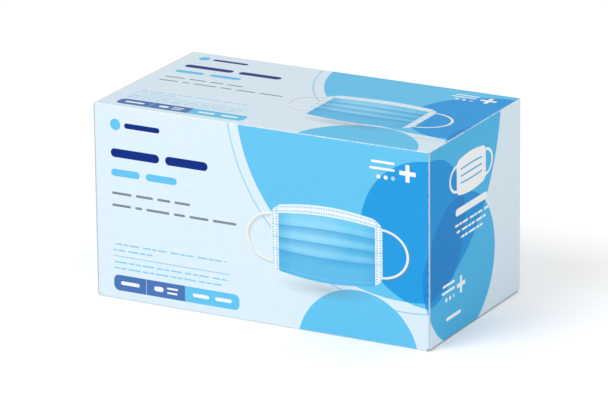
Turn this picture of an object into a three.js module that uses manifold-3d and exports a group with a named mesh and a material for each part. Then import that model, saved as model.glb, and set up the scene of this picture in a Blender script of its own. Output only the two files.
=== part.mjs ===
// A folding carton for a stack of face masks: a glued sleeve of boxboard, closed at each end by
// two dust flaps and an end panel that hangs from the top panel and tucks in over the bottom panel.
// Millimetres. +X runs along the carton, its front faces -Y, +Z is up, and the origin is the
// middle of its underside. The carton is modelled closed.
import * as THREE from "three";
import { mergeVertices } from "three/addons/utils/BufferGeometryUtils.js";
import Module from "manifold-3d";

const wasm = await Module();
wasm.setup();

// Outside sizes of the closed carton
const LENGTH = 190;
const DEPTH = 102;
const HEIGHT = 103;

// The boxboard and how it folds
const BOARD = 0.5; // thickness
const CREASE_RADIUS = 0.3; // inside radius of a folded crease
const GAP = 0.3; // clearance between neighbouring pieces
const ARC_STEPS = 6; // straight steps in each rounded corner or bend

// The glue flap, which closes the sleeve inside the back panel
const GLUE_FLAP_HEIGHT = 15;
const GLUE_FLAP_TAPER = 7; // how much each end of its top edge is cut back

// The end panels and their tuck flaps
const END_PANEL_SIDE_CLEARANCE = 0.4; // from each side of an end panel to the sleeve's outside
const TUCK_DEPTH = 16;
const TUCK_SIDE_CLEARANCE = 3; // from each side of the tuck flap to the side of its end panel
const TUCK_CORNER_RADIUS = 8;
const TUCK_SLOPE = THREE.MathUtils.degToRad(6); // the tuck flap rises inwards, clear of its swing
const BOTTOM_LIP_SETBACK = 0.3; // the bottom panel stops this far short of the end panel's face

// The dust flaps
const DUST_FLAP_SPACING = 14; // between the free edges of the two that face each other
const DUST_FLAP_LIFT = 2.2; // from the bottom panel to a dust flap, where the tuck flap slides in
const DUST_FLAP_HEADROOM = 1.5; // from the top panel's inside to a dust flap, at its crease
const DUST_FLAP_TAPER = 0.56; // fall of its top edge for each millimetre away from its crease
const DUST_FLAP_CORNER_RADIUS = 4;

// Worked out from the sizes above
const BEND_RADIUS = CREASE_RADIUS + BOARD; // outside radius of a folded crease
const TOP_LENGTH = LENGTH - 2 * (BOARD + GAP); // between the two end panels' creases
const SLEEVE_LENGTH = LENGTH - 4 * (BOARD + GAP); // between the dust flaps' creases
const GLUED_INSET = BOARD + GAP; // the glue flap lies this far inside the carton's back
const BOTTOM_DEPTH = DEPTH - GLUED_INSET;
const END_HINGE_INSET = BOARD / 2; // from the carton's end, and from its top, to the crease's axis
const DUST_HINGE_INSET = BOARD + GAP + BOARD / 2; // from the carton's end to a dust flap's axis
const END_PANEL_WIDTH = DEPTH - 2 * END_PANEL_SIDE_CLEARANCE;
const END_PANEL_DROP = HEIGHT - END_HINGE_INSET - BOARD - GAP; // from the axis to the lower crease
const DUST_FLAP_LENGTH = (DEPTH - BOARD - DUST_FLAP_SPACING) / 2; // from its axis to its free edge

const X_AXIS = new THREE.Vector3(1, 0, 0);
const Y_AXIS = new THREE.Vector3(0, 1, 0);
const Z_AXIS = new THREE.Vector3(0, 0, 1);

const outsidePrint = { roughness: 0.42, metalness: 0 };
const paleBoard = new THREE.MeshStandardMaterial({ color: 0xe2f3fd, ...outsidePrint });
const skyBoard = new THREE.MeshStandardMaterial({ color: 0x6fccf5, ...outsidePrint });
const insideBoard = new THREE.MeshStandardMaterial({ color: 0xefece4, roughness: 0.85, metalness: 0 });

// A closed outline whose corners are rounded to their own radius, from rows of x, y and radius.
function roundedOutline(corners) {
  const outline = new THREE.Shape();
  corners.forEach(({ x, y, radius = 0 }, index) => {
    const corner = new THREE.Vector2(x, y);
    const towards = (offset) => {
      const other = corners[(index + offset + corners.length) % corners.length];
      return new THREE.Vector2(other.x, other.y).sub(corner).setLength(radius).add(corner);
    };
    const enter = radius ? towards(-1) : corner;
    if (index === 0) outline.moveTo(enter.x, enter.y);
    else outline.lineTo(enter.x, enter.y);
    if (radius) {
      const leave = towards(1);
      outline.quadraticCurveTo(corner.x, corner.y, leave.x, leave.y);
    }
  });
  outline.closePath();
  return outline;
}

const rectangle = (x0, y0, x1, y1) =>
  roundedOutline([
    { x: x0, y: y0 },
    { x: x1, y: y0 },
    { x: x1, y: y1 },
    { x: x0, y: y1 },
  ]);

// A section swept straight along its own +z, starting at z = 0.
const sweep = (section, length) =>
  new THREE.ExtrudeGeometry(section, { depth: length, bevelEnabled: false, curveSegments: ARC_STEPS });

// A flat sheet of board: its outline in the xy plane, its thickness from z = 0.
const sheet = (outline) => sweep(outline, BOARD);

function toSolid(geometry) {
  const bare = new THREE.BufferGeometry();
  bare.setAttribute("position", geometry.getAttribute("position"));
  if (geometry.index) bare.setIndex(geometry.index);
  const merged = mergeVertices(bare);
  return new wasm.Manifold(
    new wasm.Mesh({
      numProp: 3,
      vertProperties: merged.attributes.position.array,
      triVerts: new Uint32Array(merged.index.array),
    }),
  );
}

function joined(first, second) {
  const made = toSolid(first).add(toSolid(second)).getMesh();
  const geometry = new THREE.BufferGeometry();
  geometry.setAttribute("position", new THREE.BufferAttribute(made.vertProperties, 3));
  geometry.setIndex(new THREE.BufferAttribute(made.triVerts, 1));
  const faceted = geometry.toNonIndexed();
  faceted.computeVertexNormals();
  return faceted;
}

// A named mesh whose own x, y and z axes point along the three given directions.
function piece(name, geometry, material, [xTo, yTo, zTo], position) {
  const mesh = new THREE.Mesh(geometry, material);
  mesh.name = name;
  mesh.setRotationFromMatrix(new THREE.Matrix4().makeBasis(xTo, yTo, zTo));
  mesh.position.copy(position);
  return mesh;
}

// The cross-section of a panel with a quarter bend down along each side, its outer face at y = 0.
function channelSection(width) {
  const run = width / 2 - BEND_RADIUS;
  const section = new THREE.Shape();
  section.absarc(-run, -BEND_RADIUS, BEND_RADIUS, Math.PI, Math.PI / 2, true);
  section.absarc(run, -BEND_RADIUS, BEND_RADIUS, Math.PI / 2, 0, true);
  section.absarc(run, -BEND_RADIUS, CREASE_RADIUS, 0, Math.PI / 2, false);
  section.absarc(-run, -BEND_RADIUS, CREASE_RADIUS, Math.PI / 2, Math.PI, false);
  section.closePath();
  return section;
}

const along = (length) => -length / 2; // where a sweep of this length starts, to be centred

function topPanel() {
  return piece(
    "top_panel",
    sweep(channelSection(DEPTH), TOP_LENGTH),
    paleBoard,
    [Y_AXIS, Z_AXIS, X_AXIS],
    new THREE.Vector3(along(TOP_LENGTH), 0, HEIGHT),
  );
}

// The bottom panel's bends stop with the sleeve, and a flat lip runs on under each end panel.
function bottomPanel() {
  const lipLength = LENGTH - 2 * BOTTOM_LIP_SETBACK;
  const lipReach = BOTTOM_DEPTH / 2 - BEND_RADIUS;
  const lip = sweep(rectangle(-lipReach, -BOARD, lipReach, 0), lipLength);
  lip.translate(0, 0, along(lipLength));
  const bent = sweep(channelSection(BOTTOM_DEPTH), SLEEVE_LENGTH);
  bent.translate(0, 0, along(SLEEVE_LENGTH));
  return piece(
    "bottom_panel",
    joined(bent, lip),
    paleBoard,
    [Y_AXIS.clone().negate(), Z_AXIS.clone().negate(), X_AXIS],
    new THREE.Vector3(0, -GLUED_INSET / 2, 0),
  );
}

// A flat wall of the sleeve, up to the top panel's bend, with its outer face at the given y.
function wall(name, lowerEdge, outerFaceY, facing) {
  const upperEdge = HEIGHT - BEND_RADIUS - GAP;
  const outline = rectangle(-SLEEVE_LENGTH / 2, lowerEdge, SLEEVE_LENGTH / 2, upperEdge);
  const geometry = sheet(outline);
  geometry.translate(0, 0, -BOARD);
  const acrossTo = X_AXIS.clone().multiplyScalar(-facing);
  const outTo = Y_AXIS.clone().multiplyScalar(facing);
  return piece(name, geometry, paleBoard, [acrossTo, Z_AXIS, outTo], new THREE.Vector3(0, outerFaceY, 0));
}

// The glue flap stands up from the bottom panel's rear bend and is stuck inside the back panel.
function glueFlap() {
  const foot = BEND_RADIUS + GAP;
  const halfFoot = SLEEVE_LENGTH / 2 - GAP;
  const halfTop = halfFoot - GLUE_FLAP_TAPER;
  const outline = roundedOutline([
    { x: -halfFoot, y: foot },
    { x: halfFoot, y: foot },
    { x: halfTop, y: GLUE_FLAP_HEIGHT },
    { x: -halfTop, y: GLUE_FLAP_HEIGHT },
  ]);
  const geometry = sheet(outline);
  const outerFaceY = DEPTH / 2 - GLUED_INSET;
  return piece(
    "glue_flap",
    geometry,
    insideBoard,
    [X_AXIS, Z_AXIS, Y_AXIS.clone().negate()],
    new THREE.Vector3(0, outerFaceY, 0),
  );
}

// The centre of the bend that leads from an end panel into its tuck flap, from the panel's axis.
const TUCK_BEND = new THREE.Vector2(BOARD / 2 - BEND_RADIUS, BEND_RADIUS - END_PANEL_DROP);

// An end panel seen from its side, hanging from its crease's axis at the origin, outside to +x.
function endPanelSection() {
  const bend = Math.PI / 2 + TUCK_SLOPE;
  const section = new THREE.Shape();
  section.absarc(0, 0, BOARD / 2, Math.PI, 0, true);
  section.absarc(TUCK_BEND.x, TUCK_BEND.y, BEND_RADIUS, 0, -bend, true);
  section.absarc(TUCK_BEND.x, TUCK_BEND.y, CREASE_RADIUS, -bend, 0, false);
  section.closePath();
  return section;
}

function endPanel(end) {
  return piece(
    `${end}_end_panel`,
    sweep(endPanelSection(), END_PANEL_WIDTH),
    skyBoard,
    [X_AXIS, Z_AXIS, Y_AXIS.clone().negate()],
    new THREE.Vector3(-END_HINGE_INSET, END_PANEL_WIDTH / 2, HEIGHT - END_HINGE_INSET),
  );
}

// The tuck flap lies flat on the end panel's bend: its outline runs inwards from the bend's end.
function tuckFlap(end) {
  const half = END_PANEL_WIDTH / 2 - TUCK_SIDE_CLEARANCE;
  const outline = roundedOutline([
    { x: -half, y: 0 },
    { x: half, y: 0 },
    { x: half, y: TUCK_DEPTH, radius: TUCK_CORNER_RADIUS },
    { x: -half, y: TUCK_DEPTH, radius: TUCK_CORNER_RADIUS },
  ]);
  const inwards = new THREE.Vector3(-Math.cos(TUCK_SLOPE), 0, Math.sin(TUCK_SLOPE));
  const upwards = new THREE.Vector3(Math.sin(TUCK_SLOPE), 0, Math.cos(TUCK_SLOPE));
  const foot = new THREE.Vector3(
    TUCK_BEND.x - END_HINGE_INSET,
    0,
    TUCK_BEND.y + HEIGHT - END_HINGE_INSET,
  );
  foot.addScaledVector(upwards, -BEND_RADIUS).addScaledVector(inwards, GAP);
  const acrossTo = new THREE.Vector3().crossVectors(inwards, upwards);
  return piece(`${end}_tuck_flap`, sheet(outline), insideBoard, [acrossTo, inwards, upwards], foot);
}

// A dust flap in the xy plane, x away from its crease's axis, y up: a sheet with a round edge.
function dustFlapGeometry() {
  const lower = BOARD + DUST_FLAP_LIFT;
  const upper = HEIGHT - BOARD - DUST_FLAP_HEADROOM;
  const outerUpper = upper - DUST_FLAP_TAPER * DUST_FLAP_LENGTH;
  const outline = roundedOutline([
    { x: 0, y: lower },
    { x: DUST_FLAP_LENGTH, y: lower, radius: DUST_FLAP_CORNER_RADIUS },
    { x: DUST_FLAP_LENGTH, y: outerUpper, radius: DUST_FLAP_CORNER_RADIUS },
    { x: 0, y: upper },
  ]);
  const flat = sheet(outline);
  flat.translate(0, 0, -BOARD / 2);
  const round = new THREE.CylinderGeometry(BOARD / 2, BOARD / 2, upper - lower, 4 * ARC_STEPS);
  round.translate(0, (upper + lower) / 2, 0);
  return joined(flat, round);
}

// A dust flap at the +X end. It hangs on the wall at the given side of the carton, -1 or 1 in Y.
function dustFlap(name, side) {
  const acrossTo = Y_AXIS.clone().multiplyScalar(-side);
  const outTo = X_AXIS.clone().multiplyScalar(-side);
  const hinge = new THREE.Vector3(-DUST_HINGE_INSET, side * (DEPTH / 2 - BOARD / 2), 0);
  return piece(name, dustFlapGeometry(), insideBoard, [acrossTo, Z_AXIS, outTo], hinge);
}

// Everything that closes one end, in a group whose origin is the foot of that end's outer face.
// The left end is the right one turned half round, which swaps its front and back.
function closedEnd(end, turn) {
  const group = new THREE.Group();
  const frontSide = turn ? 1 : -1;
  group.add(
    endPanel(end),
    tuckFlap(end),
    dustFlap(`${end}_front_dust_flap`, frontSide),
    dustFlap(`${end}_back_dust_flap`, -frontSide),
  );
  group.rotation.z = turn;
  group.position.x = (Math.cos(turn) * LENGTH) / 2;
  return group;
}

const carton = new THREE.Group();
carton.add(
  topPanel(),
  bottomPanel(),
  wall("front_panel", BEND_RADIUS + GAP, -DEPTH / 2, -1),
  wall("back_panel", 0, DEPTH / 2, 1),
  glueFlap(),
  closedEnd("right", 0),
  closedEnd("left", Math.PI),
);

export default carton;
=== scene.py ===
# %% [markdown]
# # A printed folding carton
# This lesson dresses a folding carton in Blender. The carton is one sheet of boxboard, half a
# millimetre thick, that is printed, cut, creased, folded and glued. The packed model already says
# how big each panel is and how its flaps turn, so here the board gets what makes it look real:
# round folds, a wall thickness with raw edges, a print, a varnish and a little wear.

# %% Load the frame
import math

import bmesh
import bpy
from mathutils import Matrix, Vector


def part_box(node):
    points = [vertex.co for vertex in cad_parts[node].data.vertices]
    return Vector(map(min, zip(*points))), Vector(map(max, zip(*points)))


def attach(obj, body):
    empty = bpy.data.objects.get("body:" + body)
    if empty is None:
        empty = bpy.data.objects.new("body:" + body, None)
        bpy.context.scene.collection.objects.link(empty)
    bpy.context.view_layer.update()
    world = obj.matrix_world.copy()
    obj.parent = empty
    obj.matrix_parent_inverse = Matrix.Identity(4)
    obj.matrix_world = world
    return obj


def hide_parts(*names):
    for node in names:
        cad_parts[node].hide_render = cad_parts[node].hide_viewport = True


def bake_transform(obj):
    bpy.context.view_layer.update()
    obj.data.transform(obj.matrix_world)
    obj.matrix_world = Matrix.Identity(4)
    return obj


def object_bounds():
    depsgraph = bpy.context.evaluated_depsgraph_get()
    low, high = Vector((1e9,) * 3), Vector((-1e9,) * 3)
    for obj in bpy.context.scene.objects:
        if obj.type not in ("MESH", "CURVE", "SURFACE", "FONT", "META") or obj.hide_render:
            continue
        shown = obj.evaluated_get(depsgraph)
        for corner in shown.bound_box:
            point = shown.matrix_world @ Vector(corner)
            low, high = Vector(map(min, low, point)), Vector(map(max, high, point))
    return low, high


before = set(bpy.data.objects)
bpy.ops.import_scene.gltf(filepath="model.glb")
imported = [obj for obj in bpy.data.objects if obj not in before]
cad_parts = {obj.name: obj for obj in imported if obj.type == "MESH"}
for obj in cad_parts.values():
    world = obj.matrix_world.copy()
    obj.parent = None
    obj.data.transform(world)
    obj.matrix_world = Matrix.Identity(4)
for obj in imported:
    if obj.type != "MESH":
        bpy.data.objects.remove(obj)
cad_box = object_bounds()
print("model box", [tuple(round(n, 4) for n in corner) for corner in cad_box])

# %% [markdown]
# The camera stands where the photographer stood. Long lenses keep the edges of a carton nearly
# parallel, which is how product pictures are usually taken. The place was found by fitting a
# camera to the carton's seven visible corners, and it is written as a direction and a distance
# from the point in the middle of the picture, because that is how one would set up a tripod.

# %% The camera
VIEW_AZIMUTH = math.radians(28.47)
VIEW_ELEVATION = math.radians(18.20)
VIEW_ROLL = math.radians(-0.63)
VIEW_DISTANCE = 2.413
AIM = Vector((-0.0085, 0.0115, 0.0432))
LENS = 279.8
SENSOR_WIDTH = 36.0

towards_camera = Vector((
    math.sin(VIEW_AZIMUTH) * math.cos(VIEW_ELEVATION),
    -math.cos(VIEW_AZIMUTH) * math.cos(VIEW_ELEVATION),
    math.sin(VIEW_ELEVATION),
))
camera = bpy.data.objects.new("camera", bpy.data.cameras.new("camera"))
bpy.context.scene.collection.objects.link(camera)
bpy.context.scene.camera = camera
camera.data.lens = LENS
camera.data.sensor_width = SENSOR_WIDTH
camera.rotation_mode = "QUATERNION"
camera.rotation_quaternion = towards_camera.to_track_quat("Z", "Y")
camera.rotation_quaternion @= Matrix.Rotation(VIEW_ROLL, 3, "Z").to_quaternion()
camera.location = AIM + towards_camera * VIEW_DISTANCE
print("camera at", [round(n, 3) for n in camera.location])

# %% [markdown]
# The sizes of the carton are read from the packed model, so that the board fits the panels that
# turn. The front panel is as thick as the board. The top panel comes down round its two folds, so
# its own height gives their radius.

# %% Sizes of the carton
MM = 0.001
HALF_LENGTH, HALF_DEPTH, HEIGHT = cad_box[1]
front_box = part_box("front_panel")
top_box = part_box("top_panel")
BOARD = front_box[1].y - front_box[0].y
BEND = HEIGHT - top_box[0].z
print(f"board {BOARD / MM:.2f} mm thick, folds {BEND / MM:.2f} mm in radius")

# %% [markdown]
# Materials are built from nodes, and long sums are hard to read as nodes. A small class wraps a
# socket, so that a sum of sockets can be written as a sum: `1 - share * 0.5` adds its Math nodes.
# The reflected forms, such as `__rsub__`, are for sums in which the plain number comes first.

# %% Sums of sockets
class Wire:
    """A value on its way through a material."""

    def __init__(self, bench, socket):
        self.bench = bench
        self.socket = socket

    def __add__(self, other):
        return self.bench.math("ADD", self, other)

    def __sub__(self, other):
        return self.bench.math("SUBTRACT", self, other)

    def __rsub__(self, other):
        return self.bench.math("SUBTRACT", other, self)

    def __mul__(self, other):
        return self.bench.math("MULTIPLY", self, other)

    def __truediv__(self, other):
        return self.bench.math("DIVIDE", self, other)

    def __rtruediv__(self, other):
        return self.bench.math("DIVIDE", other, self)

    def __abs__(self):
        return self.bench.math("ABSOLUTE", self)

    __radd__ = __add__
    __rmul__ = __mul__


print("a wire knows", ", ".join(name.strip("_") for name in vars(Wire) if callable(vars(Wire)[name])))

# %% [markdown]
# A bench holds the node tree of one material and makes every other kind of node. Its one method
# takes the type of a node, its settings, and what goes into its sockets, which is a wire or a
# plain value. The shorter methods below it are the nodes that are needed again and again.

# %% The bench of a material
class Bench:
    """The node tree of one new material or world."""

    def __init__(self, owner):
        self.owner = owner
        owner.use_nodes = True
        self.tree = owner.node_tree
        self.tree.nodes.clear()

    def node(self, kind, settings=None, sockets=None, output=0):
        made = self.tree.nodes.new(kind)
        for key, value in (settings or {}).items():
            setattr(made, key, value)
        for key, value in (sockets or {}).items():
            if isinstance(value, Wire):
                self.tree.links.new(value.socket, made.inputs[key])
            else:
                made.inputs[key].default_value = value
        return Wire(self, made.outputs[output])

    def math(self, operation, *values, clamp=False):
        settings = {"operation": operation, "use_clamp": clamp}
        return self.node("ShaderNodeMath", settings, dict(enumerate(values)))

    def vector(self, operation, *values, output="Vector"):
        sockets = dict(enumerate(values))
        return self.node("ShaderNodeVectorMath", {"operation": operation}, sockets, output)

    def split(self, vector):
        """The three numbers of a vector."""
        parts = self.node("ShaderNodeSeparateXYZ", {}, {"Vector": vector})
        return [Wire(self, output) for output in parts.socket.node.outputs]

    def mix(self, share, first, second):
        """Mixes two colours. The node has sockets of one name for each kind of data, so these
        go by number."""
        sockets = {0: share, 6: first, 7: second}
        return self.node("ShaderNodeMix", {"data_type": "RGBA"}, sockets, output=2)

    def noise(self, place, scale, detail=2.0):
        sockets = {"Vector": place, "Scale": scale, "Detail": detail}
        return self.node("ShaderNodeTexNoise", {}, sockets)

    def ready(self, shader, output="ShaderNodeOutputMaterial"):
        """Makes this shader the whole of the material or world, and gives that back."""
        out = self.tree.nodes.new(output)
        self.tree.links.new(shader.socket, out.inputs["Surface"])
        return self.owner


print("a bench makes", ", ".join(name for name in vars(Bench) if not name.startswith("_")))

# %% [markdown]
# Inks are given as they look on a screen, in steps of 255, and shaders want light itself, so each
# is turned from one into the other by the curve that screens use. Paper shows its colour under a
# light that is a little stronger than 1 on the front, and `LIT` takes that out again.

# %% Inks
LIT = 1.20
DARKEST_STEPS = 0.04045
DARK_SLOPE = 12.92
CURVE_LIFT = 0.055
CURVE_POWER = 2.4


def linear(step):
    share = step / 255
    if share <= DARKEST_STEPS:
        return share / DARK_SLOPE
    return ((share + CURVE_LIFT) / (1 + CURVE_LIFT)) ** CURVE_POWER


def ink(red, green, blue):
    return tuple(linear(step) / LIT for step in (red, green, blue)) + (1.0,)


PALE = ink(226, 243, 253)
SKY = ink(104, 202, 245)
MID = ink(34, 160, 231)
DEEP = ink(28, 140, 216)
NAVY = ink(0, 44, 134)
STEEL = ink(76, 121, 187)
SLATE = ink(112, 124, 133)
WHITE = ink(252, 254, 255)
BARE = ink(241, 242, 240)
print("pale ink as light", [round(part, 3) for part in PALE[:3]])

# %% [markdown]
# The print is drawn by distance, so every point of the board has to know where it lies. A spot
# holds that place in millimetres, counted from the lower left corner of a panel. It comes from
# the board's own UV map, so the print bends with the board when a flap opens.

# %% Where a point lies
PANEL_WIDTH = 2 * HALF_LENGTH / MM
PANEL_HEIGHT = HEIGHT / MM
END_WIDTH = 2 * HALF_DEPTH / MM


class Spot:
    """Where a point of the board lies on its panel, in millimetres."""

    def __init__(self, bench, point):
        self.bench = bench
        self.point = point
        self.x, self.y = bench.split(point)[:2]

    def seen_from(self, centre, scale=1.0):
        moved = self.bench.vector("SUBTRACT", self.point, (*centre, 0))
        return Spot(self.bench, self.bench.vector("DIVIDE", moved, (scale, scale, 1)))

    def distance(self, target):
        return self.bench.vector("DISTANCE", self.point, target, output="Value")


def panel_spot(bench, width, height):
    """The place on a panel, from a UV map that runs from 0 to 1 over the panel."""
    uv = bench.node("ShaderNodeUVMap", {"uv_map": "panel"})
    return Spot(bench, bench.vector("MULTIPLY", uv, (width, height, 0)))


print(f"panels {PANEL_WIDTH:.0f} by {PANEL_HEIGHT:.0f} mm, ends {END_WIDTH:.0f} mm wide")

# %% [markdown]
# A disc is everywhere that lies nearer to a point than its radius, and a bar with round ends is
# everywhere that lies near a stretch of line. One clamped sum turns a distance into ink, with an
# edge that is soft over a tenth of a millimetre, as real print is. Shapes are joined by taking
# the larger share of ink at each point.

# %% Printed shapes
INK_EDGE = 0.10


def ramp(value, slope, start):
    """A value that rises or falls evenly, and stays between 0 and 1."""
    return value.bench.math("MULTIPLY_ADD", value, slope, start, clamp=True)


def within(distance, reach, soft=INK_EDGE):
    """Full ink where the distance is less than the reach, and none beyond it."""
    return ramp(distance, -1 / soft, 0.5 + reach / soft)


def larger(first, second):
    return first.bench.math("MAXIMUM", first, second)


def all_of(shapes):
    covered = shapes[0]
    for shape in shapes[1:]:
        covered = larger(covered, shape)
    return covered


def disc(spot, centre, radius):
    return within(spot.distance((*centre, 0)), radius)


def ring(spot, centre, radius, width):
    return within(abs(spot.distance((*centre, 0)) - radius), width / 2)


def bar(spot, left, right, height, width):
    """A level stretch of line with round ends."""
    reach = {"Value": spot.x, "Min": left + width / 2, "Max": right - width / 2}
    nearest = spot.bench.node("ShaderNodeClamp", {}, reach)
    target = spot.bench.node("ShaderNodeCombineXYZ", {}, {"X": nearest, "Y": height})
    return within(spot.distance(target), width / 2)


print(f"ink ends over {INK_EDGE} mm")

# %% [markdown]
# Two more shapes need a little more thought. A rectangle with round corners is everywhere that
# lies near a smaller rectangle. A broken bar is a bar with gaps at uneven places: a wave along
# the bar makes the gaps, and a slower wave pushes them about so that no two lines look alike.

# %% Blocks and broken bars
GAP_PACE = 1.15
GAP_SHARPNESS = 5.0
GAP_LEVEL = 4.4
WANDER_PACE = 0.37
WANDER_REACH = 1.7


def block(spot, left, right, low, high, corner=0.0):
    """A rectangle whose corners are rounded."""
    bench = spot.bench
    centre = ((left + right) / 2, (low + high) / 2, 0)
    half = ((right - left) / 2 - corner, (high - low) / 2 - corner, 0)
    away = bench.vector("ABSOLUTE", bench.vector("SUBTRACT", spot.point, centre))
    beyond = bench.vector("MAXIMUM", bench.vector("SUBTRACT", away, half), (0, 0, 0))
    return within(bench.vector("LENGTH", beyond, output="Value"), corner)


def broken_bar(spot, left, right, height, width, turn):
    """A bar with uneven gaps. The turn shifts them along."""
    bench = spot.bench
    wander = bench.math("SINE", spot.x * WANDER_PACE + turn) * WANDER_REACH
    wave = bench.math("SINE", spot.x * GAP_PACE + wander + turn)
    return bar(spot, left, right, height, width) * ramp(wave, GAP_SHARPNESS, GAP_LEVEL)


def bars(spot, rows, shape=bar):
    return all_of([shape(spot, *row) for row in rows])


print(f"gaps come about every {math.tau / GAP_PACE:.1f} mm")

# %% [markdown]
# The panels that face the buyer carry a picture of what is in the carton: a pleated mask, seen
# straight from the front. It is a plain figure made from sums. A pillow shape comes from a
# rounded rectangle whose height shrinks towards its sides, and each ear loop is the part of an
# ellipse that lies outside it.

# %% The figure of the mask
MASK_HALF_WIDTH = 31.0
MASK_HALF_HEIGHT = 20.0
MASK_TAPER = 0.20
MASK_CORNER = 6.0
LOOP_RADII = (15.0, 12.5)
LOOP_ROOT = MASK_HALF_WIDTH - 1.0


def squares(first, second):
    return first * first + second * second


def mask_parts(spot, loop_width):
    """The pillow shape, its own bulging measure of height, and the two ear loops behind it."""
    bench = spot.bench
    side = abs(spot.x)
    share = spot.x / MASK_HALF_WIDTH
    height = spot.y * (share * share * MASK_TAPER + 1)
    over_x = larger(side - (MASK_HALF_WIDTH - MASK_CORNER), 0.0)
    over_y = larger(abs(height) - (MASK_HALF_HEIGHT - MASK_CORNER), 0.0)
    body = within(bench.math("SQRT", squares(over_x, over_y)), MASK_CORNER)
    across = (side - LOOP_ROOT) / LOOP_RADII[0]
    out = bench.math("SQRT", squares(across, spot.y / LOOP_RADII[1]))
    loops = within(abs(out - 1) * min(LOOP_RADII), loop_width / 2)
    return body, height, loops * within(LOOP_ROOT - side, 0.0)


print(f"picture {2 * (LOOP_ROOT + LOOP_RADII[0]):.0f} by {2 * MASK_HALF_HEIGHT:.0f} mm")

# %% [markdown]
# The cloth of the picture is lit from above, with a broad gleam at its upper left. Each pleat is
# a shadow that starts at a curved line and fades out below it, with a soft light crest above the
# line. The cloth is darker where it is pinched at the sides, and a thin light line is its hem.

# %% The cloth of the picture
CLOTH = ink(120, 212, 251)
CLOTH_SHADE = ink(66, 166, 222)
CLOTH_LIGHT = ink(158, 226, 254)
LIT_MIDDLE, LIT_RISE = 0.72, 0.25
GLEAM_PLACE, GLEAM_REACH, GLEAM_STRENGTH = (-9.0, 4.0), (24.0, 15.0), 0.8
PLEATS = (8.0, 0.5, -7.0)
PLEAT_FADE, PLEAT_STRENGTH = 5.0, 0.75
CREST_RISE, CREST_SLOPE, CREST_STRENGTH = 2.2, 0.45, 0.5
PINCH_START, PINCH_WIDTH, PINCH_STRENGTH = 18.9, 9.0, 0.45
HEM_RISE, HEM_HALF, HEM_SOFT, HEM_STRENGTH = 2.2, 0.12, 0.5, 0.5


def with_pleat(cloth, height, pleat):
    bench = height.bench
    faded = ramp(bench.math("SUBTRACT", pleat, height), -1 / PLEAT_FADE, 1.0)
    cloth = bench.mix(faded * within(height, pleat) * PLEAT_STRENGTH, cloth, CLOTH_SHADE)
    crest = ramp(abs(height - (pleat + CREST_RISE)), -CREST_SLOPE, 1.0)
    return bench.mix(crest * CREST_STRENGTH, cloth, CLOTH_LIGHT)


def mask_cloth(spot, height):
    bench = spot.bench
    lit = ramp(height, LIT_RISE / MASK_HALF_HEIGHT, LIT_MIDDLE)
    cloth = bench.mix(lit, CLOTH_SHADE, CLOTH)
    gleam_x = (spot.x - GLEAM_PLACE[0]) / GLEAM_REACH[0]
    gleam_y = (spot.y - GLEAM_PLACE[1]) / GLEAM_REACH[1]
    gleam = ramp(squares(gleam_x, gleam_y), -1.0, 1.0)
    cloth = bench.mix(gleam * GLEAM_STRENGTH, cloth, CLOTH_LIGHT)
    for pleat in PLEATS:
        cloth = with_pleat(cloth, height, pleat)
    pinched = ramp(abs(spot.x), 1 / PINCH_WIDTH, -PINCH_START / PINCH_WIDTH)
    cloth = bench.mix(pinched * PINCH_STRENGTH, cloth, CLOTH_SHADE)
    hem = within(abs(height + MASK_HALF_HEIGHT - HEM_RISE), HEM_HALF, HEM_SOFT)
    return bench.mix(hem * HEM_STRENGTH, cloth, CLOTH_LIGHT)


print("pleats at", PLEATS, "mm from the middle of the picture")

# %% [markdown]
# A mask has pale bands along its top and sides, where the layers are pressed together. The
# pleats show through the side bands as thin lines, and rows of short welds hold the layers.

# %% The bands and welds of the picture
TOP_BAND = 15.0
SIDE_BAND = 27.0
BAND_STRENGTH = 0.9
LINE_HALF, LINE_SOFT, LINE_STRENGTH = 0.25, 0.6, 0.45
WELD_PACE, WELD_SHARE, WELD_SOFT, WELD_HALF = 2.3, 0.62, 0.4, 0.42
TOP_WELDS = (16.2, 18.6)
SIDE_WELDS = (28.0, 30.0)


def with_bands(cloth, spot, height):
    bench = spot.bench
    bands = larger(within(TOP_BAND - height, 0.0), within(SIDE_BAND - abs(spot.x), 0.0))
    cloth = bench.mix(bands * BAND_STRENGTH, cloth, WHITE)
    for pleat in PLEATS:
        line = within(abs(height - pleat), LINE_HALF, LINE_SOFT) * within(height, TOP_BAND)
        cloth = bench.mix(line * bands * LINE_STRENGTH, cloth, CLOTH_SHADE)
    return cloth


def weld_dashes(way):
    return within(abs(way.bench.math("SINE", way * WELD_PACE)), WELD_SHARE, WELD_SOFT)


def mask_welds(spot, height):
    """Two rows of dashes along the top band, and two columns along each side band."""
    rows = all_of([within(abs(height - row), WELD_HALF) for row in TOP_WELDS])
    columns = all_of([within(abs(abs(spot.x) - column), WELD_HALF) for column in SIDE_WELDS])
    return larger(rows * weld_dashes(spot.x), columns * weld_dashes(spot.y))


print(f"a weld every {math.pi / WELD_PACE:.2f} mm")

# %% [markdown]
# The picture floats before the colour of the panel, so the loops throw a thin shadow beside
# them, and a soft oval shadow lies under the mask. The ends carry the same figure as a flat sign
# in one ink, with its pleats cut out.

# %% The finished picture and its sign
LOOP_INK = ink(246, 246, 243)
LOOP_WIDTH = 1.1
LOOP_SHADOW_WIDTH, LOOP_SHADOW_SHIFT, LOOP_SHADOW_STRENGTH = 1.6, (0.9, -1.1), 0.22
OVAL_DROP, OVAL_REACH, OVAL_STRENGTH = 3.5, (30.0, 5.5), 0.42
SIGN_LOOP, SIGN_CUT_HALF, SIGN_CUT_REACH = 2.6, 0.9, 23.0


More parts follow.
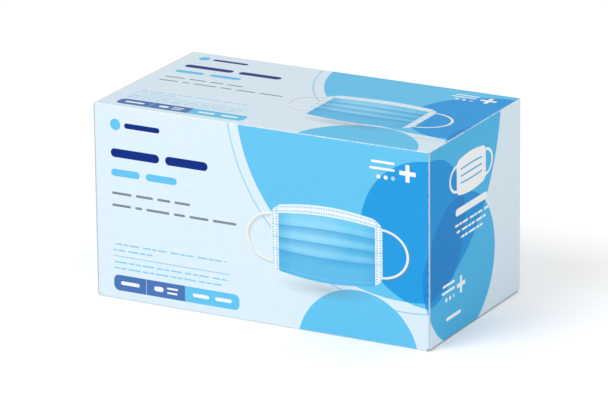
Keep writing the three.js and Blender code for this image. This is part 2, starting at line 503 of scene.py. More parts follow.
def with_mask_shadow(colour, spot):
    bench = spot.bench
    loops = mask_parts(spot.seen_from(LOOP_SHADOW_SHIFT), LOOP_SHADOW_WIDTH)[2]
    under = spot.seen_from((0, -MASK_HALF_HEIGHT - OVAL_DROP))
    away = bench.math("SQRT", squares(under.x / OVAL_REACH[0], under.y / OVAL_REACH[1]))
    oval = ramp(away, -1.0, 1.0)
    return bench.mix(larger(oval * OVAL_STRENGTH, loops * LOOP_SHADOW_STRENGTH), colour, SLATE)


def with_mask_picture(colour, spot):
    bench = spot.bench
    body, height, loops = mask_parts(spot, LOOP_WIDTH)
    colour = bench.mix(loops, with_mask_shadow(colour, spot), LOOP_INK)
    cloth = with_bands(mask_cloth(spot, height), spot, height)
    cloth = bench.mix(mask_welds(spot, height), cloth, SKY)
    return bench.mix(body, colour, cloth)


def mask_sign(spot):
    body, height, loops = mask_parts(spot, SIGN_LOOP)
    cuts = all_of([within(abs(height - pleat), SIGN_CUT_HALF) for pleat in PLEATS])
    cuts = cuts * within(abs(spot.x), SIGN_CUT_REACH)
    return larger(body * (1 - cuts), loops)


print(f"loops {LOOP_WIDTH} mm wide")

# %% [markdown]
# The artwork round the picture is a play of see-through discs that run on from the front over
# the folds. Where one disc lies on the pale ground it prints sky blue, where two lie on each
# other they print a stronger blue, and three give the deepest. So the shader only has to count
# the discs at a point. The ends get darker copies of these inks than the panels. This is painted
# shade, which takes back the pale veil that the varnish lays over the print where an end is seen
# at a slant.

# %% The discs of the artwork
BIG_DISC = ((176.0, 118.0), 94.0)
EDGE_DISC = ((190.0, 60.0), 38.0)
FOOT_DISC = ((150.0, -8.0), 34.0)
END_DISC = ((224.0, 34.0), 38.0)
PANEL_SHADES = (SKY, MID, DEEP)
# Painted shade: the panel inks made darker for the ends, against the pale veil of the varnish at a
# slant.
END_SHADED_INKS = (ink(76, 188, 238), ink(6, 152, 226), ink(4, 134, 210))


def with_discs(spot, discs, shades):
    count = disc(spot, *discs[0])
    for centre, radius in discs[1:]:
        count = count + disc(spot, centre, radius)
    colour = PALE
    for layer, shade in enumerate(shades):
        share = spot.bench.math("SUBTRACT", count, layer, clamp=True)
        colour = spot.bench.mix(share, colour, shade)
    return colour


print("up to", len(PANEL_SHADES), "discs print on each other")

# %% [markdown]
# The rest of the print is a dot and bars: large bars at the upper left, thin and broken ones
# below them, and a label at the foot. Each row gives a bar's left and right end, its height above
# the foot of the panel and its thickness, in millimetres. The rows of broken bars end with the
# turn that shifts their gaps.

# %% The bars of a panel
CORNER_DOT = ((12.8, 93.0), 3.0)
NAVY_BARS = (
    (18.0, 38.5, 93.0, 2.8),
    (9.8, 38.0, 78.0, 4.6),
    (41.5, 66.0, 78.0, 4.6),
)
SKY_BARS = (
    (9.8, 26.5, 67.6, 3.8),
    (30.0, 48.0, 67.6, 3.8),
    (10.0, 77.5, 23.0, 0.35),
)
SLATE_BARS = (
    (10.0, 21.5, 56.6, 1.3),
    (24.0, 34.0, 56.6, 1.3),
    (36.5, 44.0, 56.6, 1.3),
    (46.5, 55.5, 56.6, 1.3),
    (10.0, 21.0, 50.2, 1.3),
    (23.5, 27.5, 50.2, 1.3),
    (30.0, 43.5, 50.2, 1.3),
    (46.0, 52.5, 50.2, 1.3),
    (55.0, 66.0, 50.2, 1.3),
    (68.5, 82.0, 50.2, 1.3),
)
BROKEN_BARS = (
    (10.0, 76.0, 29.4, 0.9, 0.0),
    (10.0, 34.0, 26.2, 0.9, 2.1),
    (10.0, 77.0, 19.8, 0.9, 4.0),
    (10.0, 73.0, 16.6, 0.9, 1.2),
)
SLATE_STRENGTH = 0.9
BROKEN_STRENGTH = 0.75


def with_bars(colour, spot):
    bench = spot.bench
    colour = bench.mix(disc(spot, *CORNER_DOT), colour, SKY)
    colour = bench.mix(bars(spot, NAVY_BARS), colour, NAVY)
    broken = bars(spot, BROKEN_BARS, broken_bar) * BROKEN_STRENGTH
    colour = bench.mix(larger(broken, bars(spot, SKY_BARS)), colour, SKY)
    return bench.mix(bars(spot, SLATE_BARS) * SLATE_STRENGTH, colour, SLATE)


print(len(NAVY_BARS + SKY_BARS + SLATE_BARS), "bars and", len(BROKEN_BARS), "broken ones")

# %% [markdown]
# The label is one block with round corners that changes its ink half way, has a thin white line
# across it and carries white bars. The small mark in the upper right corner is made about its
# own lower left corner, so that the same function serves the panels and the ends.

# %% The label and the mark
LABEL = (10.0, 83.0, 4.6, 13.0)
LABEL_CORNER = 3.0
LABEL_CHANGE = 51.5
LABEL_LINE = (28.85, 29.15, 4.6, 13.0)
LABEL_BARS = (
    (14.0, 25.0, 8.8, 1.9),
    (33.5, 39.0, 8.8, 2.6),
    (41.0, 47.5, 10.0, 1.0),
    (41.0, 47.0, 7.6, 1.0),
    (56.0, 65.5, 8.8, 1.9),
    (69.0, 78.5, 8.8, 1.9),
)
MARK_BARS = (
    (0.0, 13.0, 9.0, 1.3),
    (-1.0, 13.0, 5.6, 1.3),
)
MARK_DOTS = ((4.0, 1.4), (8.0, 1.4), (12.0, 1.4))
DOT_RADIUS = 1.1
FAINT_DOT = 0.5
PLUS_ARMS = ((18.9, 21.1, 0.5, 9.5), (15.5, 24.5, 3.9, 6.1))
PLUS_CORNER = 0.3


def with_label(colour, spot):
    bench = spot.bench
    label_ink = bench.mix(within(LABEL_CHANGE - spot.x, 0.0), STEEL, SKY)
    colour = bench.mix(block(spot, *LABEL, LABEL_CORNER), colour, label_ink)
    return bench.mix(larger(block(spot, *LABEL_LINE), bars(spot, LABEL_BARS)), colour, WHITE)


def corner_mark(spot):
    """Two short bars over three dots, the last one faint, with a plus sign at their right."""
    dots = [disc(spot, place, DOT_RADIUS) for place in MARK_DOTS]
    faint = dots.pop() * FAINT_DOT
    arms = [block(spot, *arm, PLUS_CORNER) for arm in PLUS_ARMS]
    return all_of([bars(spot, MARK_BARS), *dots, faint, *arms])


print(f"label {LABEL[1] - LABEL[0]:.0f} mm long")

# %% [markdown]
# Now the artwork of each kind of panel is put together, from the ground up. A panel's colour is
# let run a few millimetres past its own edge, for the flaps that hang on it. The ends look at
# the same discs from their own corner, so the discs run on round the fold.

# %% The artwork of the panels
DISC_RING = (BIG_DISC[0], 99.5, 0.7)
RING_STRENGTH = 0.7
MARK_PLACE = (158.0, 85.5)
PICTURE_PLACE = (133.0, 47.0)
OVERRUN = 3.5
END_BARS = ((28.0, 63.0, 63.5, 3.8), (18.0, 34.0, 11.0, 1.8))
END_BROKEN_BARS = (
    (27.0, 65.0, 56.8, 1.2, 0.4),
    (29.0, 62.0, 53.2, 1.2, 2.6),
    (33.0, 58.0, 49.6, 1.2, 5.0),
)
END_MARK_PLACE = (14.0, 20.0)
SIGN_PLACE, SIGN_SCALE = (45.5, 81.0), 0.52


def panel_artwork(bench):
    spot = panel_spot(bench, PANEL_WIDTH, PANEL_HEIGHT)
    colour = with_discs(spot, (BIG_DISC, EDGE_DISC, FOOT_DISC, END_DISC), PANEL_SHADES)
    colour = bench.mix(ring(spot, *DISC_RING) * RING_STRENGTH, colour, SKY)
    colour = with_label(with_bars(colour, spot), spot)
    colour = bench.mix(corner_mark(spot.seen_from(MARK_PLACE)), colour, WHITE)
    colour = with_mask_picture(colour, spot.seen_from(PICTURE_PLACE))
    past_edge = abs(spot.x - PANEL_WIDTH / 2) - PANEL_WIDTH / 2
    return bench.mix(within(past_edge, OVERRUN), BARE, colour), spot


def end_artwork(bench):
    spot = panel_spot(bench, END_WIDTH, PANEL_HEIGHT)
    discs = [((x - PANEL_WIDTH, y), radius) for (x, y), radius in (BIG_DISC, EDGE_DISC, END_DISC)]
    colour = with_discs(spot, discs, END_SHADED_INKS)
    sign = mask_sign(spot.seen_from(SIGN_PLACE, SIGN_SCALE))
    mark = corner_mark(spot.seen_from(END_MARK_PLACE))
    lines = larger(bars(spot, END_BARS), bars(spot, END_BROKEN_BARS, broken_bar))
    return bench.mix(all_of([lines, sign, mark]), colour, WHITE), spot


print(f"the print runs {OVERRUN} mm past the edge of a panel")

# %% [markdown]
# The underside is what lies on the shelf, so it has hardly any print: the pale ground, one
# block of broken bars with uneven right ends, and a thin line over it.

# %% The artwork of the underside
BASE_LINE = (62.0, 128.0, 66.0, 0.4)
BASE_BROKEN_BARS = (
    (62.0, 128.0, 60.0, 1.2, 0.0),
    (62.0, 119.0, 55.8, 1.2, 1.9),
    (62.0, 110.0, 51.6, 1.2, 3.8),
    (62.0, 128.0, 47.4, 1.2, 5.7),
    (62.0, 119.0, 43.2, 1.2, 7.6),
)
BASE_STRENGTH = 0.8


def base_artwork(bench):
    spot = panel_spot(bench, PANEL_WIDTH, END_WIDTH)
    broken = bars(spot, BASE_BROKEN_BARS, broken_bar) * BASE_STRENGTH
    colour = bench.mix(broken, PALE, SLATE)
    return bench.mix(bar(spot, *BASE_LINE), colour, SKY), spot


print(len(BASE_BROKEN_BARS), "broken bars on the underside")

# %% [markdown]
# Under the ink is coated board and over it a satin varnish. The coat follows the fibres a
# little, so a fine noise lifts the surface, and a coarser one makes the tone and the gloss
# uneven. Along the folds the ink cracks and shows white board, and the same white also paints
# the bright line of light that a fold catches. The shader whitens a strip of about half a
# millimetre at each rim of a panel, broken up by noise.

# %% The printed finish
VARNISH_ROUGHNESS, ROUGHNESS_SPREAD = 0.46, 0.10
VARNISH_SHINE = 0.10
TONE_SPREAD = 0.06
FIBRE_SCALE, FIBRE_DETAIL = 1400.0, 3.0
MOTTLE_SCALE = 260.0
CRACK_AND_HIGHLIGHT_WIDTH, CRACK_AND_HIGHLIGHT_SOFT = 0.45, 0.35
CRACK_SCALE, CRACK_SHARPNESS, CRACK_LEVEL, CRACK_AND_HIGHLIGHT_STRENGTH = 900.0, 3.0, -0.75, 0.85
PRINT_RELIEF, PRINT_FIBRE = 0.12, 0.03 * MM


def surface(bench, colour, roughness, shine, relief, fibre, height):
    """Ends a material: a shader, and a bump of fine fibre."""
    bump = {"Strength": relief, "Distance": height, "Height": fibre}
    normal = bench.node("ShaderNodeBump", {}, bump)
    shader = bench.node("ShaderNodeBsdfPrincipled", {}, {
        "Base Color": colour, "Roughness": roughness, "Specular IOR Level": shine, "Normal": normal,
    })
    return bench.ready(shader)


def rim_distance(spot, width, height):
    bench = spot.bench
    along = bench.math("MINIMUM", abs(spot.x), abs(width - spot.x))
    up = bench.math("MINIMUM", abs(spot.y), abs(height - spot.y))
    return bench.math("MINIMUM", along, up)


def printed(name, artwork, width, height):
    bench = Bench(bpy.data.materials.new(name))
    colour, spot = artwork(bench)
    place = bench.node("ShaderNodeTexCoord", {}, {}, "Object")
    fibre = bench.noise(place, FIBRE_SCALE, FIBRE_DETAIL)
    mottle = bench.noise(place, MOTTLE_SCALE)
    uneven = {"Vector": colour, "Scale": mottle * TONE_SPREAD + (1 - TONE_SPREAD / 2)}
    colour = bench.node("ShaderNodeVectorMath", {"operation": "SCALE"}, uneven)
    # White at the rims: partly cracked ink, partly a painted highlight along the folds.
    cracks = ramp(bench.noise(place, CRACK_SCALE), CRACK_SHARPNESS, CRACK_LEVEL)
    near = within(rim_distance(spot, width, height), CRACK_AND_HIGHLIGHT_WIDTH, CRACK_AND_HIGHLIGHT_SOFT)
    colour = bench.mix(near * cracks * CRACK_AND_HIGHLIGHT_STRENGTH, colour, WHITE)
    roughness = mottle * ROUGHNESS_SPREAD + (VARNISH_ROUGHNESS - ROUGHNESS_SPREAD / 2)
    return surface(bench, colour, roughness, VARNISH_SHINE, PRINT_RELIEF, fibre, PRINT_FIBRE)


print(f"cracked rims {CRACK_AND_HIGHLIGHT_WIDTH} mm wide")

# %% [markdown]
# Raw edges and the inside are uncoated. They are matt, with longer fibres that stand up more, a
# cloudy tone and a scatter of darker flecks, as board with recycled fibres has.

# %% The bare finish
BARE_ROUGHNESS, BARE_ROUGHNESS_RISE = 0.78, 0.12
BARE_SHINE = 0.2
LONG_FIBRE_SCALE, LONG_FIBRE_DETAIL = 900.0, 5.0
CLOUD_SCALE, CLOUD_DETAIL, CLOUD_STRENGTH = 120.0, 3.0, 0.35
FLECK_SCALE, FLECK_DETAIL, FLECK_SHARPNESS, FLECK_LEVEL = 1600.0, 1.0, 9.0, -6.0
BARE_RELIEF, BARE_FIBRE = 0.35, 0.05 * MM


def bare(name, shade, dark, flecks):
    bench = Bench(bpy.data.materials.new(name))
    place = bench.node("ShaderNodeTexCoord", {}, {}, "Object")
    fibre = bench.noise(place, LONG_FIBRE_SCALE, LONG_FIBRE_DETAIL)
    cloud = bench.noise(place, CLOUD_SCALE, CLOUD_DETAIL)
    colour = bench.mix(cloud * CLOUD_STRENGTH, shade, dark)
    spots = ramp(bench.noise(place, FLECK_SCALE, FLECK_DETAIL), FLECK_SHARPNESS, FLECK_LEVEL)
    colour = bench.mix(spots * flecks, colour, dark)
    roughness = fibre * BARE_ROUGHNESS_RISE + BARE_ROUGHNESS
    return surface(bench, colour, roughness, BARE_SHINE, BARE_RELIEF, fibre, BARE_FIBRE)


LOOKS = {
    "panel": printed("panel print", panel_artwork, PANEL_WIDTH, PANEL_HEIGHT),
    "end": printed("end print", end_artwork, END_WIDTH, PANEL_HEIGHT),
    "base": printed("base print", base_artwork, PANEL_WIDTH, END_WIDTH),
    "inside": bare("uncoated inside", ink(224, 220, 211), ink(188, 182, 170), flecks=0.6),
    "edge": bare("raw edge", ink(206, 219, 228), ink(180, 190, 196), flecks=0.3),
}
for look, material in LOOKS.items():
    print(look, "has", len(material.node_tree.nodes), "nodes")

# %% [markdown]
# A skin is the outer face of the board, with no thickness. Which print a face carries follows
# from where it faces, also round a fold: up to the middle of the bend it belongs to one panel
# and past that to the next. This table holds, for each side of the carton, its outward
# direction, its lower left corner as someone would see it who stands before it, how its width
# and height run, and its print. Each print comes as three layers: itself, the bare inside behind
# it, and its raw edges.

# %% Where each face of a skin belongs
ACROSS = Vector((1, 0, 0))
BACK = Vector((0, 1, 0))
UP = Vector((0, 0, 1))
TO_END = ACROSS * HALF_LENGTH
TO_REAR = BACK * HALF_DEPTH
TALL = UP * HEIGHT
SIDES = {
    "front": (-BACK, -TO_END - TO_REAR, 2 * TO_END, TALL, "panel"),
    "back": (BACK, TO_END + TO_REAR, -2 * TO_END, TALL, "panel"),
    "top": (UP, TALL - TO_END - TO_REAR, 2 * TO_END, 2 * TO_REAR, "panel"),
    "right": (ACROSS, TO_END - TO_REAR, 2 * TO_REAR, TALL, "end"),
    "left": (-ACROSS, TO_REAR - TO_END, -2 * TO_REAR, TALL, "end"),
    "under": (-UP, TO_REAR - TO_END, 2 * TO_END, -2 * TO_REAR, "base"),
}
LAYERS = 3
INSIDE_LAYER = 1
EDGE_LAYER = 2


def share_along(offset, run):
    return offset.dot(run) / run.length_squared


def lay_out_print(skin, prints, only=None):
    """Gives each face the print of the side that it faces, and its place on that side as a UV.

    A skin that only carries what runs over from one side names it. There the width is counted
    on round the fold, as if the board were still flat."""
    uv = skin.loops.layers.uv.new("panel")
    for face in skin.faces:
        facing = max(SIDES.values(), key=lambda side: face.normal.dot(side[0]))
        out, corner, width, height, look = SIDES[only] if only else facing
        face.material_index = LAYERS * prints.index(look)
        for loop in face.loops:
            offset = loop.vert.co - corner
            across = share_along(offset, width)
            if only:
                behind = -offset.dot(out) / width.length
                across += math.copysign(behind, across - 0.5)
            loop[uv].uv = (across, share_along(offset, height))


print("prints go by", len(SIDES), "sides")

# %% [markdown]
# Two moves make any folded sheet. It starts as one straight edge. Spinning an edge about a
# crease makes the rounded fold, and extruding it makes the flat panel behind the fold.

# %% Folding a sheet
BEND_STEPS = 8


def start_edge(first, last):
    skin = bmesh.new()
    skin.edges.new([skin.verts.new(first), skin.verts.new(last)])
    return skin, list(skin.edges)


def edges_of(made):
    return [item for item in made if isinstance(item, bmesh.types.BMEdge)]


def fold(skin, edges, pivot, axis, degrees):
    """Spins a row of edges about a crease, and gives back the row at the far side of the bend."""
    made = bmesh.ops.spin(skin, geom=edges, cent=pivot, axis=axis, dvec=(0, 0, 0),
                          angle=math.radians(degrees), steps=BEND_STEPS, use_merge=False)
    return edges_of(made["geom_last"])


def run_on(skin, edges, step):
    """Extrudes a row of edges straight on, and gives back the new row."""
    made = bmesh.ops.extrude_edge_only(skin, edges=edges)["geom"]
    moved = [item for item in made if isinstance(item, bmesh.types.BMVert)]
    bmesh.ops.translate(skin, verts=moved, vec=step)
    ends = set(moved)
    return [edge for edge in edges_of(made) if set(edge.verts) <= ends]


print("a fold has", BEND_STEPS, "steps")

# %% [markdown]
# No panel of a filled or empty carton is quite flat, and the light on it shows that. The sheet
# is cut into a grid with bisecting planes, because a panel needs points in its middle before it
# can bulge, and then each point of the flat part moves out by its share of the bulge.

# %% Panels that bulge
GRID = 7 * MM
BULGE = 0.35 * MM
SAME_PLACE = 1e-7
SAME_PLANE = 1e-6


def grid_cuts(skin, way, low, high):
    """Cuts a skin into even strips, with one narrow strip at each end that keeps folds crisp."""
    count = max(2, round((high - low) / GRID))
    places = [low + (high - low) * step / count for step in range(1, count)]
    for place in [low + BOARD, *places, high - BOARD]:
        everything = [*skin.verts, *skin.edges, *skin.faces]
        bmesh.ops.bisect_plane(skin, geom=everything, plane_co=way * place, plane_no=way,
                               dist=SAME_PLACE)


def bulge(skin, out, middle, half):
    """Pushes a flat panel outwards, most in its middle and not at all at its rim."""
    for vert in skin.verts:
        offset = vert.co - middle
        if abs(offset.dot(out)) > SAME_PLANE:
            continue
        height = BULGE
        for axis in range(3):
            if half[axis]:
                height *= max(0.0, 1 - (offset[axis] / half[axis]) ** 2)
        vert.co += out * height


print(f"panels bulge by {BULGE / MM:.2f} mm on a grid of {GRID / MM:.0f} mm")

# %% [markdown]
# The Solidify modifier turns the finished skin into board. It takes the thickness inwards, so
# the outside keeps its size, and gives the inside and the raw edges materials of their own. It
# is applied at once.

# %% From skin to board
SHARP_FROM = math.radians(35)


def face_out(skin, out):
    """Makes all faces look to the same side, and that side the one that is given."""
    bmesh.ops.recalc_face_normals(skin, faces=skin.faces)
    skin.normal_update()
    if sum(face.normal.dot(out) * face.calc_area() for face in skin.faces) < 0:
        bmesh.ops.reverse_faces(skin, faces=skin.faces)
    skin.normal_update()


def shown(name, skin):
    """Puts a skin into the scene as an object."""
    piece = bpy.data.objects.new(name, bpy.data.meshes.new(name))
    skin.to_mesh(piece.data)
    skin.free()
    bpy.context.scene.collection.objects.link(piece)
    return piece


def board(name, skin, prints):
    """A finished piece of board from a skin, with its thickness and its raw edges."""
    piece = shown(name, skin)
    for look in prints:
        for material in (LOOKS[look], LOOKS["inside"], LOOKS["edge"]):
            piece.data.materials.append(material)
    wall = piece.modifiers.new("board", "SOLIDIFY")
    wall.thickness = BOARD
    wall.offset = -1
    wall.use_even_offset = True
    wall.material_offset = INSIDE_LAYER
    wall.material_offset_rim = EDGE_LAYER
    solid = piece.evaluated_get(bpy.context.evaluated_depsgraph_get())
    piece.data = bpy.data.meshes.new_from_object(solid)
    piece.modifiers.clear()
    piece.data.shade_smooth()
    piece.data.set_sharp_from_angle(angle=SHARP_FROM)
    print(name, len(piece.data.polygons), "faces")
    return piece


print(f"edges are sharp from {math.degrees(SHARP_FROM):.0f} degrees")

# %% [markdown]
# The top panel is the simplest: up round the front fold, back across the top, and down round
# the rear fold. The real sheet goes on into the front and back panels without a break. Here
# they are sheets of their own that begin exactly where the fold ends, so no seam shows, and each
# panel keeps a print of full sharpness when the model's textures are made.

# %% The top panel
TOP_END = top_box[1].x
FOLD_HEIGHT = HEIGHT - BEND
FOLD_DEPTH = HALF_DEPTH - BEND


def top_sheet():
    skin, row = start_edge((-TOP_END, -HALF_DEPTH, FOLD_HEIGHT), (TOP_END, -HALF_DEPTH, FOLD_HEIGHT))
    row = fold(skin, row, (0, -FOLD_DEPTH, FOLD_HEIGHT), ACROSS, -90)
    row = run_on(skin, row, BACK * 2 * FOLD_DEPTH)
    fold(skin, row, (0, FOLD_DEPTH, FOLD_HEIGHT), ACROSS, -90)
    grid_cuts(skin, ACROSS, -TOP_END, TOP_END)
    grid_cuts(skin, BACK, -FOLD_DEPTH, FOLD_DEPTH)
    face_out(skin, UP)
    bulge(skin, UP, TALL, (TOP_END, FOLD_DEPTH, 0))
    lay_out_print(skin, ["panel"])
    return board("top_sheet", skin, ["panel"])


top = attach(top_sheet(), "sleeve")
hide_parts("top_panel")

# %% [markdown]
# The front and back panels are flat sheets between the folds. The front one stops where the
# lower fold of the bottom panel begins. The back one runs right down to the table, because it
# is the lap that is glued over the flap behind it, and its raw lower edge shows.

# %% The front and back panels
WALL_END = front_box[1].x


def wall_sheet(name, side, low):
    out = BACK * side
    y = side * HALF_DEPTH
    skin, row = start_edge((-WALL_END, y, low), (WALL_END, y, low))
    run_on(skin, row, UP * (FOLD_HEIGHT - low))
    grid_cuts(skin, ACROSS, -WALL_END, WALL_END)
    grid_cuts(skin, UP, low, FOLD_HEIGHT)
    face_out(skin, out)
    middle = out * HALF_DEPTH + UP * (FOLD_HEIGHT + low) / 2
    bulge(skin, out, middle, (WALL_END, 0, (FOLD_HEIGHT - low) / 2))
    lay_out_print(skin, ["panel"])
    return board(name, skin, ["panel"])


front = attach(wall_sheet("front_sheet", -1, BEND), "sleeve")
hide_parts("front_panel")
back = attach(wall_sheet("back_sheet", 1, 0.0), "sleeve")
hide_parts("back_panel")

# %% [markdown]
# The bottom panel folds up at the front, and at the rear into the glue flap, which stands
# inside the back panel. At both ends a lip runs on under the end panel, and only between the
# folds, because the real sheet is cut free there so that the dust flaps can swing.

# %% The bottom panel and its glue flap
bottom_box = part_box("bottom_panel")
LIP_END = bottom_box[1].x
REAR_FACE = bottom_box[1].y
GLUE_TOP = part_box("glue_flap")[1].z
GLUE_TAPER = 7 * MM


def is_flat_side(edge):
    """Whether an edge is one of the two short sides of the flat bottom."""
    first, last = (vert.co for vert in edge.verts)
    return abs(first.x - last.x) < SAME_PLACE and max(abs(first.z), abs(last.z)) < SAME_PLACE


def bottom_sheet():
    skin, row = start_edge((-WALL_END, -HALF_DEPTH, BEND), (WALL_END, -HALF_DEPTH, BEND))
    row = fold(skin, row, (0, -FOLD_DEPTH, BEND), ACROSS, 90)
    row = run_on(skin, row, BACK * (REAR_FACE + HALF_DEPTH - 2 * BEND))
    lips = [edge for edge in skin.edges if is_flat_side(edge)]
    row = fold(skin, row, (0, REAR_FACE - BEND, BEND), ACROSS, 90)
    glue_row = run_on(skin, row, UP * (GLUE_TOP - BEND))
    for vert in {vert for edge in glue_row for vert in edge.verts}:
        vert.co.x -= math.copysign(GLUE_TAPER, vert.co.x)
    for lip in lips:
        run_on(skin, [lip], ACROSS * math.copysign(LIP_END - WALL_END, lip.verts[0].co.x))
    grid_cuts(skin, ACROSS, -WALL_END, WALL_END)
    grid_cuts(skin, BACK, -FOLD_DEPTH, REAR_FACE - BEND)
    face_out(skin, -UP)
    lay_out_print(skin, ["base", "panel"])
    return board("bottom_sheet", skin, ["base", "panel"])


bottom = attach(bottom_sheet(), "sleeve")
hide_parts("bottom_panel", "glue_flap")

# %% [markdown]
# Everything that closes an end is made for the right end, about the middle of the carton, and
# the left end is the same turned half round. The end panel hangs straight down, folds inwards
# past a right angle, and ends in a tuck flap that is narrower and has round corners. Its slope
# is read from the packed model. The packed panel leaves a gap above its tuck flap, and the
# sheet reaches half way into it.

# %% Sizes of an end
FOLD_LENGTH = HALF_LENGTH - BEND
FOOT_DROP = 0.15 * MM
TUCK_CORNER = 8 * MM
end_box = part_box("right_end_panel")
tuck_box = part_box("right_tuck_flap")
END_SIDE = end_box[1].y
TUCK_SIDE = tuck_box[1].y
FOOT_FOLD = end_box[0].z - FOOT_DROP + BEND
tuck_face = max(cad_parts["right_tuck_flap"].data.polygons, key=lambda face: face.area)
TUCK_SLOPE = math.degrees(math.acos(abs(tuck_face.normal.z)))
TUCK_REACH = end_box[1].x - BEND - tuck_box[0].x
print(f"tuck flaps slope by {TUCK_SLOPE:.1f} degrees and reach in {TUCK_REACH / MM:.1f} mm")

# %% [markdown]
# The first edge is drawn in three parts, so that past the fold only the middle one runs on as
# the tuck flap. Then the two far corners of the flap are rounded with a bevel of single points.

# %% The end panels with their tuck flaps
def corner_verts(row):
    """The two outermost points of a row of edges."""
    verts = sorted({vert for edge in row for vert in edge.verts}, key=lambda vert: vert.co.y)
    return [verts[0], verts[-1]]


def end_skin():
    skin = bmesh.new()
    places = (-END_SIDE, -TUCK_SIDE, TUCK_SIDE, END_SIDE)
    verts = [skin.verts.new((HALF_LENGTH, y, FOLD_HEIGHT)) for y in places]
    row = [skin.edges.new(pair) for pair in zip(verts, verts[1:])]
    row = run_on(skin, row, UP * (FOOT_FOLD - FOLD_HEIGHT))
    row = fold(skin, row, (FOLD_LENGTH, 0, FOOT_FOLD), BACK, 90 + TUCK_SLOPE)
    row = [edge for edge in row if all(abs(vert.co.y) < TUCK_SIDE + SAME_PLACE for vert in edge.verts)]
    slope = math.radians(TUCK_SLOPE)
    inwards = Vector((-math.cos(slope), 0, math.sin(slope)))
    row = run_on(skin, row, inwards * TUCK_REACH / math.cos(slope))
    bmesh.ops.bevel(skin, geom=corner_verts(row), offset=TUCK_CORNER, segments=8, profile=0.5,
                    affect="VERTICES", material=-1)
    grid_cuts(skin, BACK, -END_SIDE, END_SIDE)
    grid_cuts(skin, UP, FOOT_FOLD, FOLD_HEIGHT)
    face_out(skin, ACROSS)
    middle = Vector((HALF_LENGTH, 0, (FOLD_HEIGHT + FOOT_FOLD) / 2))
    bulge(skin, ACROSS, middle, (0, END_SIDE, (FOLD_HEIGHT - FOOT_FOLD) / 2))
    return skin


def turned(skin, turn):
    bmesh.ops.rotate(skin, verts=skin.verts, cent=(0, 0, 0), matrix=Matrix.Rotation(turn, 3, "Z"))
    skin.normal_update()
    return skin


ENDS = {"right": 0.0, "left": math.pi}
for end, turn in ENDS.items():
    skin = turned(end_skin(), turn)
    lay_out_print(skin, ["end", "base"])
    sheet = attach(board(f"{end}_end_sheet", skin, ["end", "base"]), f"{end}_end")
    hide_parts(f"{end}_end_panel", f"{end}_tuck_flap")

# %% [markdown] A crease is a strip of board across a bend, between the sleeve and a flap. It
# gets its thickness when it is made. Its long rims lie against the panels. They get the look
# of the inside, so that no pale raw edge shows there.

# %% The creases of the end panels
END_ON = 0.5


def crease(name, skin, prints, axis):
    """A strip of board across a bend. Only the rims at its two ends, which face along the axis,
    stay raw edges."""
    strip = board(name, skin, prints)
    for face in strip.data.polygons:
        if face.material_index % LAYERS == EDGE_LAYER and abs(face.normal.dot(axis)) < END_ON:
            face.material_index += INSIDE_LAYER - EDGE_LAYER
    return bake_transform(strip)


for end, turn in ENDS.items():
    skin, row = start_edge((FOLD_LENGTH, -END_SIDE, HEIGHT), (FOLD_LENGTH, END_SIDE, HEIGHT))
    fold(skin, row, (FOLD_LENGTH, 0, FOLD_HEIGHT), BACK, 90)
    face_out(skin, UP)
    turned(skin, turn)
    lay_out_print(skin, ["panel", "end"])
    crease(f"{end}_end_crease", skin, ["panel", "end"], BACK)

# %% [markdown]
# The dust flaps hang on the front and back panels and fold in close behind the end panel. Their
# top edge falls away from the crease, so that they can swing while the end panel is still close.
# They are not printed. Only the ink of the front or back panel runs a little way over the
# crease, as printers let it, so that no white line shows where the fold is not quite true.

# %% The dust flaps
dust_low, dust_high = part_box("right_front_dust_flap")
DUST_TIP = dust_high.y
DUST_CORNER = 4 * MM
DUST_FALL = 0.56
DUST_OUT = 0.25 * MM
BEND_START = WALL_END + DUST_OUT


def dust_skin():
    """The flap at the front of the right end."""
    x = BEND_START + BEND
    skin, row = start_edge((x, -FOLD_DEPTH, dust_low.z), (x, -FOLD_DEPTH, dust_high.z))
    row = run_on(skin, row, BACK * (DUST_TIP + FOLD_DEPTH))
    far = sorted({vert for edge in row for vert in edge.verts}, key=lambda vert: vert.co.z)
    far[-1].co.z -= DUST_FALL * (DUST_TIP + FOLD_DEPTH)
    bmesh.ops.bevel(skin, geom=far, offset=DUST_CORNER, segments=6, profile=0.5,
                    affect="VERTICES", material=-1)
    grid_cuts(skin, BACK, -FOLD_DEPTH, DUST_TIP)
    face_out(skin, ACROSS)
    return skin


print(f"dust flaps reach {(DUST_TIP + FOLD_DEPTH) / MM:.0f} mm in from their crease")

# %% [markdown]
# The crease of a dust flap is a strip like the others, with a short flat start that brings the
# flap up to the end panel. One flap and one strip are made for the front of the right end. The
# other three places are a mirror image of them or a half turn away.

# %% The creases of the dust flaps
CREASE_LOW = BEND + BOARD


def dust_crease_skin():
    skin, row = start_edge((WALL_END, -HALF_DEPTH, CREASE_LOW), (WALL_END, -HALF_DEPTH, FOLD_HEIGHT))
    row = run_on(skin, row, ACROSS * DUST_OUT)
    fold(skin, row, (BEND_START, -FOLD_DEPTH, 0), UP, 90)
    grid_cuts(skin, UP, CREASE_LOW, FOLD_HEIGHT)
    face_out(skin, ACROSS - BACK)
    return skin


def placed(skin, side, turn):
    """Mirrors a skin made for the front to the back, where wanted, and turns it to its end."""
    if side > 0:
        bmesh.ops.scale(skin, vec=(1, -1, 1), verts=skin.verts)
        bmesh.ops.reverse_faces(skin, faces=skin.faces)
    return turned(skin, turn)


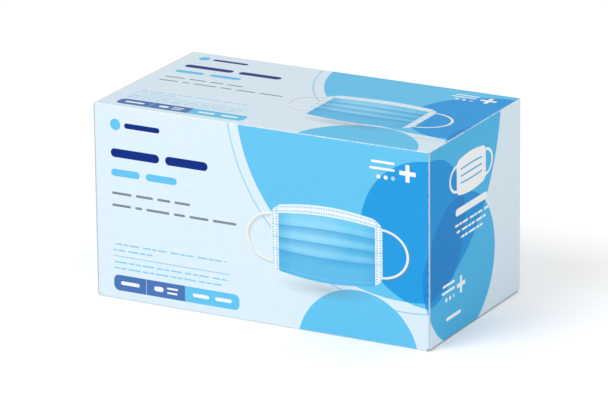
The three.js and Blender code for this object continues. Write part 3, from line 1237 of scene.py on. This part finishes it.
for end, turn in ENDS.items():
    for side in (-1, 1):
        depth = "front" if side * math.cos(turn) < 0 else "back"
        skin = placed(dust_skin(), side, turn)
        lay_out_print(skin, ["panel"], depth)
        body = f"{end}_{depth}_dust"
        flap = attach(board(f"{end}_{depth}_dust_sheet", skin, ["panel"]), body)
        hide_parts(f"{end}_{depth}_dust_flap")
        strip = placed(dust_crease_skin(), side, turn)
        lay_out_print(strip, ["panel"], depth)
        crease(f"{end}_{depth}_dust_crease", strip, ["panel"], UP)

# %% [markdown]
# The stage is a wide white floor, like the lit table of a product studio. It glows faintly, and
# more so far from the carton, so that it comes out white while the shadow near the carton stays
# soft. It lies a hair below the carton, because two faces in one plane would flicker.

# %% The floor
FLOOR_REACH = 20.0
FLOOR_DROP = 0.2 * MM
FLOOR_WHITE = 0.93
FLOOR_ROUGHNESS = 0.9
GLOW_NEAR, GLOW_FAR = 0.14, 0.40
GLOW_RISE = (0.5, 3.5)


def grey(value):
    return (value, value, value, 1.0)


def between(bench, value, limits, first, last):
    """A grey that goes from the first to the last value while the value passes the limits."""
    sockets = {"Value": value, "From Min": limits[0], "From Max": limits[1]}
    share = bench.node("ShaderNodeMapRange", {}, sockets)
    return bench.mix(share, grey(first), grey(last))


floor_skin = bmesh.new()
bmesh.ops.create_grid(floor_skin, x_segments=1, y_segments=1, size=FLOOR_REACH)
bmesh.ops.translate(floor_skin, verts=floor_skin.verts, vec=-UP * FLOOR_DROP)
floor = shown("floor", floor_skin)

bench = Bench(bpy.data.materials.new("studio floor"))
place = bench.node("ShaderNodeTexCoord", {}, {}, "Object")
away = bench.vector("LENGTH", place, output="Value")
floor_shader = bench.node("ShaderNodeBsdfPrincipled", {}, {
    "Base Color": grey(FLOOR_WHITE), "Roughness": FLOOR_ROUGHNESS, "Specular IOR Level": 0.0,
    "Emission Color": between(bench, away, GLOW_RISE, GLOW_NEAR, GLOW_FAR), "Emission Strength": 1.0,
})
floor.data.materials.append(bench.ready(floor_shader))
print(f"floor {2 * FLOOR_REACH:.0f} m wide")

# %% [markdown]
# A pale world lights everything evenly, a little more from the horizon than from above. A large
# soft lamp at the front left makes the front panel the brightest side and the right end the
# darkest, and a weak one at the right keeps that end from falling too dark.

# %% World and lamps
SKY_LIGHT = 0.74
HORIZON_LIGHT = 1.02
HORIZON_BAND = (0.04, 0.30)
LAMPS = {
    "key lamp": {"power": 88.0, "size": 2.6, "place": Vector((-1.44, -2.9, 3.5))},
    "fill lamp": {"power": 5.0, "size": 2.6, "place": Vector((3.2, -1.6, 1.8))},
}

bench = Bench(bpy.data.worlds.new("studio"))
ray = bench.node("ShaderNodeTexCoord", {}, {}, "Generated")
ray_height = abs(bench.split(ray)[2])
sky_colour = between(bench, ray_height, HORIZON_BAND, HORIZON_LIGHT, SKY_LIGHT)
glow = bench.node("ShaderNodeBackground", {}, {"Color": sky_colour})
bpy.context.scene.world = bench.ready(glow, "ShaderNodeOutputWorld")

for name, row in LAMPS.items():
    lamp = bpy.data.objects.new(name, bpy.data.lights.new(name, "AREA"))
    lamp.data.shape = "DISK"
    lamp.data.size = row["size"]
    lamp.data.energy = row["power"]
    lamp.location = row["place"]
    lamp.rotation_mode = "QUATERNION"
    lamp.rotation_quaternion = (row["place"] - TALL / 2).to_track_quat("Z", "Y")
    bpy.context.scene.collection.objects.link(lamp)
    print(name, "stands", round(lamp.location.length, 2), "m away")
bpy.context.scene.view_settings.view_transform = "Standard"

# %% [markdown]
# The board may bulge a little past the model, and nothing else may.
